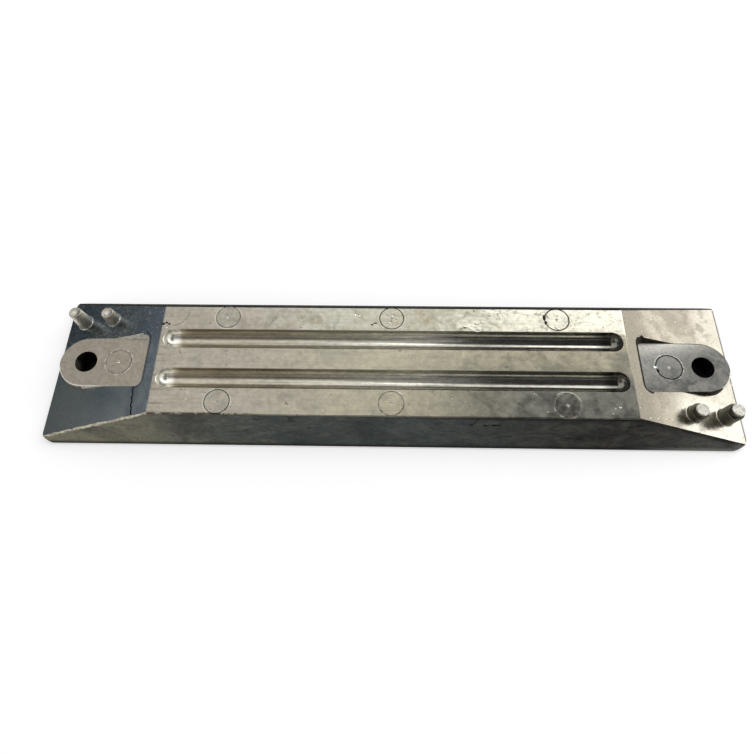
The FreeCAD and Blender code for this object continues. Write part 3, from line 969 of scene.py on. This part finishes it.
# %% Dark cards
def card(name, centre, size, turn, shade, border=0.10):
    """A dark card with soft borders, upright or lying, that shows in reflections only."""
    bpy.ops.object.select_all(action="DESELECT")
    bpy.ops.mesh.primitive_plane_add(size=1)
    piece = bpy.context.object
    piece.name = name
    piece.scale = (size[0], size[1], 1)
    bpy.ops.object.transform_apply(scale=True)
    piece.location = centre
    piece.rotation_euler = turn
    piece.data.materials.append(bpy.data.materials.new(name + "_felt"))
    felt = Recipe(piece.data.materials[0])
    spot = felt.node("ShaderNodeTexCoord", output="Object")
    along, across = (abs(felt.node("ShaderNodeSeparateXYZ", inputs={0: spot}, output=axis)) for axis in "XY")
    faded_long = along.between(size[0] / 2 - border, size[0] / 2)
    faded_wide = across.between(size[1] / 2 - border, size[1] / 2)
    solid = (1 - faded_long) * (1 - faded_wide)
    clear = felt.node("ShaderNodeBsdfTransparent")
    dark = felt.node("ShaderNodeEmission", inputs={"Color": shade, "Strength": 1.0})
    cloth = felt.node("ShaderNodeMixShader", inputs={0: solid, 1: clear, 2: dark})
    felt.node("ShaderNodeOutputMaterial", inputs={"Surface": cloth})
    piece.visible_camera = False
    piece.visible_shadow = False
    piece.visible_diffuse = False
    print(name, "is", size[0], "by", size[1], "metres")


UPRIGHT = math.pi / 2
LYING = (0, 0, 0)
card("left_card", (-0.55, 0.2, 0.21), (0.8, 0.42), (UPRIGHT, 0, UPRIGHT), (0.10, 0.12, 0.14, 1))
card("front_card", (0.22, -0.6, 0.3), (0.56, 0.7), (UPRIGHT, 0, 0), (0.04, 0.04, 0.04, 1))
card("front_left_card", (-0.22, -0.6, 0.3), (0.56, 0.7), (UPRIGHT, 0, 0), (0.30, 0.28, 0.24, 1))
card("right_roof", (0.40, -0.14, 0.6), (0.84, 1.06), LYING, (0.04, 0.04, 0.042, 1), 0.16)
card("left_roof", (-0.30, -0.34, 0.6), (0.80, 0.60), LYING, (0.17, 0.16, 0.14, 1), 0.16)
card("back_card", (-0.22, 0.7, 0.12), (0.5, 0.26), (UPRIGHT, 0, 0), (0.14, 0.13, 0.11, 1), 0.05)

# %% [markdown]
# Colours should come out about as they are written here, so the plain view is used and not a filmic
# one.

# %% Plain view
bpy.context.scene.view_settings.view_transform = "Standard"
print("colours are shown by the", bpy.context.scene.view_settings.view_transform, "view")

# %% [markdown]
# All finishes share a few patterns. Each is given in millimetres on the casting, because the size of a
# grain or a stain is what the eye judges first. Cloudy noise makes stains, a stretched one makes
# streaks along the bar, and a cut-off one leaves only its peaks, which are specks and pits.

# %% Patterns
def on_casting(recipe, axes=""):
    """The place on the casting in millimetres, and those of its three numbers that are asked for."""
    where = recipe.node("ShaderNodeVectorMath", {"operation": "SCALE"}, {
        0: recipe.node("ShaderNodeTexCoord", output="Object"), "Scale": 1 / MM})
    return [where] + [recipe.node("ShaderNodeSeparateXYZ", inputs={0: where}, output=axis) for axis in axes]


def clouds(recipe, where, size, detail=3.0, stretch=(1, 1, 1), warp=0.0):
    """Cloudy noise around one half, with patches of about a given size in millimetres."""
    scaled = recipe.node("ShaderNodeVectorMath", {"operation": "MULTIPLY"}, {
        0: where, 1: [1 / (size * factor) for factor in stretch]})
    return recipe.node("ShaderNodeTexNoise", inputs={
        "Vector": scaled, "Scale": 1.0, "Detail": detail, "Roughness": 0.6, "Distortion": warp})


def tint(recipe, factor, first, second):
    """The first colour, turned into the second one by a factor."""
    return recipe.node("ShaderNodeMix", {"data_type": "RGBA"}, {0: factor, 6: first, 7: second}, output=2)


def shade(recipe, colour, tone):
    """A colour made lighter or darker by a tone, where one leaves it alone."""
    return recipe.node("ShaderNodeVectorMath", {"operation": "SCALE"}, {0: colour, "Scale": tone})


def veins(cloud, width):
    """Fine wandering lines, where cloudy noise passes one half."""
    return 1 - abs(cloud - 0.5).between(0, width)


def metal(name, colour, roughness, relief, depth, edge_tint=1.0, bare=1.0):
    """Close a recipe: metal, bare or oxidised, with its colour, roughness and relief in millimetres."""
    recipe = relief.recipe
    bump = recipe.node("ShaderNodeBump", inputs={"Height": relief, "Distance": depth * MM, "Strength": 1.0})
    skin = recipe.node("ShaderNodeBsdfPrincipled", inputs={
        "Base Color": colour, "Metallic": bare, "Roughness": roughness, "Normal": bump,
        "Specular Tint": (edge_tint, edge_tint, edge_tint, 1)})
    recipe.node("ShaderNodeOutputMaterial", inputs={"Surface": skin})
    print(name, "has", len(recipe.tree.nodes), "nodes")


# %% [markdown]
# The plateau is the face that the ejectors pushed on. It is a satin beige grey, yellower in the middle, with
# a painted highlight that makes it bright at the back right and a painted shade that makes it grey at the
# front right. Brown flow veins cross the bright part, dark specks and faint streaks lie everywhere, and a
# ragged rusty line follows the front edge at its left end. Each ejector left its disc a little smoother, and
# a pale lip of pushed-up metal round it. All six come from one sum, because the distance to the nearest mark
# repeats along the bar and is the same on both sides.

# %% Finish of the plateau
recipe = Recipe(finish["plateau_skin"])
where, x, y = on_casting(recipe, "XY")
broad = clouds(recipe, where, 24, 4)
patch = clouds(recipe, where, 6, 4, warp=0.6)
mottle = clouds(recipe, where, 2.1, 4, warp=0.4)
grain = clouds(recipe, where, 0.5, 2)
streak = clouds(recipe, where, 1.0, 3, stretch=(25, 1, 1))
pitch = MARK_PITCH / MM
along = x - (x / pitch).whole() * pitch
across = abs(y) - MARK_ROW / MM
from_mark = (along * along + across * across).root()
disc = 1 - from_mark.between(4.7, 4.9)
lip = from_mark.between(5.0, 5.2) * (1 - from_mark.between(5.4, 6.0)) * patch.between(0.40, 0.58)

colour = tint(recipe, x.between(-75, 5), (0.365, 0.335, 0.280, 1), (0.385, 0.355, 0.262, 1))
colour = tint(recipe, (1 - broad.between(0.34, 0.52)) * 0.55, colour, (0.275, 0.265, 0.215, 1))
# Painted shade: the plateau turns grey and darker at the front right.
painted_shade_front_right = x.between(-5, 62) * (1 - (y + 16 * (broad - 0.5)).between(-14, 4))
colour = tint(recipe, painted_shade_front_right * 0.85, colour, (0.165, 0.168, 0.150, 1))
# Painted highlight: the plateau turns bright at the back right.
painted_highlight_back_right = (x + 70 * (patch - 0.5)).between(18, 50) * y.between(11.3, 13.0)
colour = tint(recipe, painted_highlight_back_right * 0.95, colour, (1.0, 0.960, 0.790, 1))
greyer = y.between(8, 14) * x.between(-75, -25) * patch.between(0.36, 0.58)
colour = tint(recipe, greyer * 0.5, colour, (0.520, 0.520, 0.455, 1))
tone = 0.05 + 1.05 * patch + 0.85 * mottle - 0.06 * disc
colour = shade(recipe, colour, tone)
brown = veins(clouds(recipe, where, 5.5, 4, stretch=(1.8, 1, 1), warp=1.5), 0.03) * patch.between(0.40, 0.58)
brown *= (0.15 + 0.85 * painted_highlight_back_right) * x.between(-60, 40)
colour = tint(recipe, brown * 0.8, colour, (0.190, 0.135, 0.070, 1))
scuffs = veins(clouds(recipe, where, 9, 2, stretch=(1.5, 1, 1), warp=2.0), 0.010) * broad.between(0.45, 0.6)
colour = tint(recipe, scuffs * 0.5, colour, (0.120, 0.112, 0.095, 1))
specks = mottle.between(0.66, 0.72)
colour = tint(recipe, specks * 0.7, colour, (0.110, 0.098, 0.078, 1))
glints = (1 - mottle.between(0.28, 0.34)) * patch.between(0.42, 0.55)
colour = tint(recipe, glints * 0.75, colour, (0.760, 0.740, 0.640, 1))
colour = tint(recipe, lip * 0.6, colour, (0.640, 0.615, 0.520, 1))
colour = tint(recipe, streak.between(0.35, 0.7) * 0.22, colour, (0.200, 0.190, 0.160, 1))
hip = x.between(96, 102) * (-y).between(12, 20)
colour = tint(recipe, hip * 0.9, colour, (0.900, 0.880, 0.800, 1))
rust = (-y).between(23.0, 23.5) * (1 - x.between(-62, -45)) * mottle.between(0.42, 0.55)
colour = tint(recipe, rust * 0.85, colour, (0.075, 0.052, 0.032, 1))
runs = streak.between(0.54, 0.62) * (1 - (x + 12 * (patch - 0.5)).between(-93, -87)) * (1 - y.between(3, 8))
colour = tint(recipe, runs * 0.45, colour, (0.130, 0.095, 0.055, 1))
roughness = 0.30 + 0.16 * patch.between(0.35, 0.65) + 0.10 * (streak - 0.5) + 0.15 * specks - 0.05 * disc
relief = 0.5 * grain + 0.9 * patch + 0.9 * mottle - 0.5 * specks + 0.2 * streak + 0.8 * lip
metal("plateau_skin", colour, roughness, relief, 0.05)

# %% [markdown]
# The left ramp has a dark blue-grey skin, partly a stain and partly a painted reflection of dark
# surroundings. It is darkest at the back and in a band below the plateau, dusty and freckled there, and turns
# even and paler towards the front.

# %% Finish of the left ramp
recipe = Recipe(finish["left_ramp_skin"])
where, x, y = on_casting(recipe, "XY")
broad = clouds(recipe, where, 16, 4, warp=0.6)
patch = clouds(recipe, where, 4.0, 4, warp=0.5)
mottle = clouds(recipe, where, 1.2, 4)
grain = clouds(recipe, where, 0.45, 2)
# Partly painted reflection: the dark blue-grey tones and the darker back stand for dark surroundings mirrored
# in the ramp.
colour = tint(recipe, broad.between(0.30, 0.70), (0.172, 0.208, 0.226, 1), (0.240, 0.264, 0.262, 1))
back = y.between(2, 15)
colour = tint(recipe, back * 0.75, colour, (0.095, 0.118, 0.135, 1))
front = (-y).between(14, 26)
colour = tint(recipe, front * 0.6, colour, (0.340, 0.370, 0.360, 1))
edge = (1 - (x + 6 * (broad - 0.5)).between(-131, -114)) * (-y).between(0, 12)
colour = tint(recipe, edge * 0.8, colour, (0.335, 0.352, 0.322, 1))
# Painted reflection: a darker band below the plateau.
band = x.between(-107, -103) * patch.between(0.36, 0.60)
colour = tint(recipe, band * 0.6, colour, (0.105, 0.122, 0.160, 1))
dusty = back * mottle.between(0.46, 0.60) * broad.between(0.42, 0.58)
colour = tint(recipe, dusty * 0.55, colour, (0.270, 0.265, 0.235, 1))
rough_back = y.between(-8, 6)
colour = shade(recipe, colour, 1 + (0.20 + 0.25 * rough_back) * (patch + mottle - 1))
freckles = mottle.between(0.62, 0.68) * y.between(-5, 12)
colour = tint(recipe, freckles * 0.6, colour, (0.520, 0.530, 0.500, 1))
roughness = 0.27 + (0.02 + 0.08 * rough_back) * (patch + mottle - 1)
relief = 0.25 * grain + (0.04 + 0.12 * rough_back) * (patch + mottle)
metal("left_ramp_skin", colour, roughness, relief, 0.045, edge_tint=0.8)

# %% [markdown]
# The right ramp is the opposite: bright and warm, a painted reflection of the bright studio, almost white at
# its front corner, with grey-brown smudges near the plateau and at the back corner.

# %% Finish of the right ramp
recipe = Recipe(finish["right_ramp_skin"])
where, x, y = on_casting(recipe, "XY")
broad = clouds(recipe, where, 18, 4, warp=0.7)
patch = clouds(recipe, where, 4.5, 4, warp=0.6)
mottle = clouds(recipe, where, 1.4, 4)
grain = clouds(recipe, where, 0.45, 2)
# Painted reflection: brighter and warmer than the left ramp, and brightened towards white at the front corner
# and the end.
colour = tint(recipe, broad.between(0.36, 0.62), (0.250, 0.226, 0.180, 1), (0.370, 0.340, 0.272, 1))
front = (-y).between(4, 20) * x.between(106, 120)
edge = x.between(124, 134)
colour = tint(recipe, front.larger(edge * 0.6) * 0.9, colour, (0.600, 0.570, 0.490, 1))
smudge = (1 - (x + 12 * (patch - 0.5)).between(97, 110)) * (0.6 + 0.4 * broad.between(0.30, 0.55))
corner = x.between(112, 126) * y.between(8, 18) * patch.between(0.42, 0.58) * (1 - x.between(132, 138))
colour = tint(recipe, smudge.larger(corner * 0.7) * 0.85, colour, (0.190, 0.173, 0.138, 1))
colour = shade(recipe, colour, 0.30 + 0.85 * patch + 0.55 * mottle)
colour = tint(recipe, x.between(139.25, 139.6), colour, (0.110, 0.100, 0.085, 1))
dirt = veins(clouds(recipe, where, 6, 4, warp=1.6), 0.025) * patch.between(0.42, 0.6)
colour = tint(recipe, dirt * 0.6, colour, (0.170, 0.135, 0.085, 1))
specks = mottle.between(0.64, 0.70)
colour = tint(recipe, specks * 0.6, colour, (0.130, 0.112, 0.085, 1))
colour = tint(recipe, (1 - mottle.between(0.29, 0.35)) * 0.6, colour, (0.850, 0.820, 0.720, 1))
roughness = 0.20 + 0.14 * patch.between(0.35, 0.65) + 0.1 * specks
relief = 0.3 * grain + 0.6 * patch + 0.35 * mottle - 0.3 * specks
metal("right_ramp_skin", colour, roughness, relief, 0.045)

# %% [markdown]
# The long sides, the ends and the bores stay as the mould left them, rough. Their tone is partly painted
# shade: beige and mottled at the left, blue-black in the middle and almost black at the right, with the
# darkest painted shade along the foot, on the back half and in a band just under the upper edge. Only the far
# right end is paler again.

# %% Finish of the sides
recipe = Recipe(finish["side_skin"])
where, x, y, z = on_casting(recipe, "XYZ")
broad = clouds(recipe, where, 20, 4, stretch=(1.6, 1, 1), warp=0.9)
patch = clouds(recipe, where, 4.5, 5, stretch=(2.0, 1, 1), warp=0.8)
mottle = clouds(recipe, where, 1.2, 4, stretch=(1.8, 1, 1))
grain = clouds(recipe, where, 0.5, 3)
# Partly painted shade: the sides darken from beige at the left to almost black at the right.
colour = tint(recipe, x.between(-122, -45), (0.285, 0.272, 0.212, 1), (0.100, 0.114, 0.110, 1))
colour = tint(recipe, x.between(0, 85), colour, (0.058, 0.057, 0.054, 1))
colour = tint(recipe, x.between(95, 125), colour, (0.105, 0.103, 0.096, 1))
pale = patch.between(0.44, 0.64) * (1 - 0.7 * x.between(-90, -20))
colour = tint(recipe, pale * 0.55, colour, (0.270, 0.262, 0.200, 1))
colour = tint(recipe, (1 - broad.between(0.36, 0.54)) * 0.55, colour, (0.050, 0.056, 0.058, 1))
colour = shade(recipe, colour, 0.02 + 0.76 * patch + 0.86 * mottle)
# Painted shade: darkest along the foot and on the back half.
foot = (1 - z.between(0.8, 2.6)) * (1 - x.between(85, 115))
colour = tint(recipe, foot.larger(y.between(0, 2)) * 0.88, colour, (0.024, 0.024, 0.022, 1))
colour = tint(recipe, mottle.between(0.62, 0.68) * 0.5, colour, (0.022, 0.022, 0.020, 1))
# Painted shade: a dark band just under the upper edge.
top = (END_LEVEL / MM + RAMP_FALL * (BAR_END / MM - x)).smaller(PLATEAU / MM)
under_edge = (1 - (top - z).between(0.5, 1.7)) * x.between(-20, 50) * (0.4 + 0.6 * patch.between(0.4, 0.55))
colour = tint(recipe, under_edge * 0.8, colour, (0.014, 0.014, 0.016, 1))
low_right = (1 - z.between(0.8, 2.6)) * x.between(92, 118)
colour = tint(recipe, low_right.larger(x.between(133, 139)) * 0.5, colour, (0.330, 0.325, 0.310, 1))
flaws = veins(clouds(recipe, where, 9, 2, stretch=(4.0, 1, 1), warp=0.6), 0.010) * broad.between(0.50, 0.60)
colour = tint(recipe, flaws * 0.6, colour, (0.012, 0.012, 0.011, 1))
roughness = 0.44 + 0.16 * patch.between(0.35, 0.65)
relief = 0.5 * grain + 1.2 * patch + 0.9 * mottle - 0.6 * flaws
metal("side_skin", colour, roughness, relief, 0.09, edge_tint=0.35)

# %% [markdown]
# The grooves were formed by polished ribs of the mould, so they are the glossiest part. Towards the left they
# are duller and browner. Long streaks run their full length, and they show in the gloss more than in the
# colour. The left ball ends carry a painted highlight and the right ones a painted shade.

# %% Finish of the grooves
recipe = Recipe(finish["groove_skin"])
where, x = on_casting(recipe, "X")
patch = clouds(recipe, where, 6, 3, stretch=(3, 1, 1))
streak = clouds(recipe, where, 0.9, 3, stretch=(50, 1, 1))
mottle = clouds(recipe, where, 1.3, 3, stretch=(2, 1, 1))
grain = clouds(recipe, where, 0.5, 2)
colour = tint(recipe, x.between(-85, 25), (0.420, 0.382, 0.300, 1), (0.520, 0.505, 0.440, 1))
colour = shade(recipe, colour, 0.2 + 0.8 * patch + 0.8 * mottle)
colour = tint(recipe, streak.between(0.42, 0.66) * 0.40, colour, (0.150, 0.140, 0.115, 1))
# Painted highlight on the left ball ends; painted shade on the right ones.
colour = tint(recipe, (1 - x.between(-89.5, -86.5)) * 0.85, colour, (0.900, 0.880, 0.800, 1))
colour = tint(recipe, x.between(83, 88) * 0.8, colour, (0.110, 0.104, 0.088, 1))
roughness = 0.27 - 0.13 * x.between(-70, 40) + 0.10 * streak.between(0.4, 0.7) + 0.08 * (patch - 0.5)
relief = 0.2 * grain + 0.7 * streak + 0.6 * patch + 0.3 * mottle
metal("groove_skin", colour, roughness, relief, 0.03)

# %% [markdown]
# The ears are matt, warm grey at the left and cool grey at the right, where a painted reflection makes the
# back light and the front dark. Both have soft blotches, fine dark and pale specks, and a pale lip round the
# line of the ejector.

# %% Finish of the ears
recipe = Recipe(finish["ear_skin"])
where, x, y = on_casting(recipe, "XY")
patch = clouds(recipe, where, 5, 4, warp=0.5)
mottle = clouds(recipe, where, 1.3, 4)
grain = clouds(recipe, where, 0.45, 2)
across = abs(x) - EAR_MARK / MM
from_mark = (across * across + y * y).root()
lip = from_mark.between(5.3, 5.5) * (1 - from_mark.between(5.7, 6.3)) * mottle.between(0.42, 0.56)
right = x.between(-1, 1)
colour = tint(recipe, right, (0.285, 0.252, 0.205, 1), (0.290, 0.292, 0.272, 1))
# Painted reflection on the right ear: lightened at the back, darkened towards the front.
sunk = (x - 1.2 * y + 14 * (patch - 0.5)).between(96, 124) * right
colour = tint(recipe, right * y.between(3, 13), colour, (0.700, 0.680, 0.610, 1))
colour = tint(recipe, sunk * 0.75, colour, (0.105, 0.106, 0.100, 1))
colour = tint(recipe, patch.between(0.38, 0.62) * 0.30, colour, (0.340, 0.320, 0.275, 1))
colour = shade(recipe, colour, 0.05 + 0.85 * patch + 1.05 * mottle)
colour = tint(recipe, mottle.between(0.63, 0.70) * 0.5, colour, (0.120, 0.110, 0.092, 1))
colour = tint(recipe, (1 - mottle.between(0.29, 0.35)) * 0.6, colour, (0.640, 0.620, 0.550, 1))
colour = tint(recipe, lip * 0.5, colour, (0.600, 0.580, 0.510, 1))
roughness = 0.36 + 0.12 * patch.between(0.35, 0.65)
relief = 0.4 * grain + 0.8 * patch + 0.8 * mottle + 0.6 * lip
metal("ear_skin", colour, roughness, relief, 0.045)

# %% [markdown]
# The stub pins are dull. The left pair is pale grey, with browner tips. The right pair has a dark olive
# skin, and its tips are bright and rough, because they were broken off there and show fresh metal.

# %% Finish of the pins
recipe = Recipe(finish["pin_skin"])
where, x, z = on_casting(recipe, "XZ")
patch = clouds(recipe, where, 2.2, 4)
mottle = clouds(recipe, where, 0.8, 4)
right = x.between(-1, 1)
colour = tint(recipe, right, (0.720, 0.680, 0.590, 1), (0.135, 0.126, 0.100, 1))
colour = shade(recipe, colour, 0.1 + 0.9 * patch + 0.9 * mottle)
tip = tint(recipe, right, (0.400, 0.365, 0.320, 1), (0.900, 0.870, 0.780, 1))
colour = tint(recipe, z.between(14.1, 14.5) * 0.9, colour, tip)
colour = tint(recipe, mottle.between(0.56, 0.64) * 0.6, colour, (0.120, 0.100, 0.078, 1))
roughness = 0.34 + 0.15 * mottle.between(0.4, 0.65)
relief = patch + 0.9 * mottle
metal("pin_skin", colour, roughness, relief, 0.10)

# %% [markdown]
# What is left are small things: clean torn metal, the worn or dirty lines of the marks, whose dark finish
# also paints shade round the right ear, the beige flash, the pale painted highlight on the left ear, and the
# underside, which is only seen when the anode is taken off.

# %% Small finishes
def plain_finish(name, colour, other, roughness, size, depth, bare=1.0):
    """A finish of two blotchy colours with one grain."""
    recipe = Recipe(finish[name])
    where = on_casting(recipe)[0]
    patch = clouds(recipe, where, size, 4)
    grain = clouds(recipe, where, size / 6, 2)
    blend = tint(recipe, patch.between(0.38, 0.64), colour, other)
    metal(name, blend, roughness + 0.1 * (patch - 0.5), patch + 0.4 * grain, depth, bare=bare)


plain_finish("clean_metal", (0.480, 0.460, 0.400, 1), (0.950, 0.930, 0.850, 1), 0.30, 0.8, 0.1)
plain_finish("worn_line", (0.105, 0.098, 0.082, 1), (0.420, 0.400, 0.350, 1), 0.50, 2.2, 0.05)
# Dark finish: real dirt in lines, seams and pits, and painted shade round the right ear.
plain_finish("dirt_and_painted_shade", (0.022, 0.020, 0.017, 1), (0.075, 0.066, 0.053, 1), 0.60, 1.5, 0.05)
plain_finish("flash_skin", (0.400, 0.360, 0.260, 1), (0.800, 0.750, 0.600, 1), 0.50, 1.4, 0.1, bare=0.3)
# A pale matt painted highlight for the left ear's front rim and recess wall.
plain_finish("pale_painted_highlight", (0.640, 0.600, 0.500, 1), (0.950, 0.920, 0.820, 1), 0.60, 1.4, 0.1, bare=0.0)
plain_finish("underside_skin", (0.230, 0.222, 0.200, 1), (0.340, 0.330, 0.300, 1), 0.50, 9.0, 0.05)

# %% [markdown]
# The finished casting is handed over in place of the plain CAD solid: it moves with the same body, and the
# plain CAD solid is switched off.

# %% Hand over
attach(casting, "root")
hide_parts(CASTING)
bpy.context.view_layer.update()
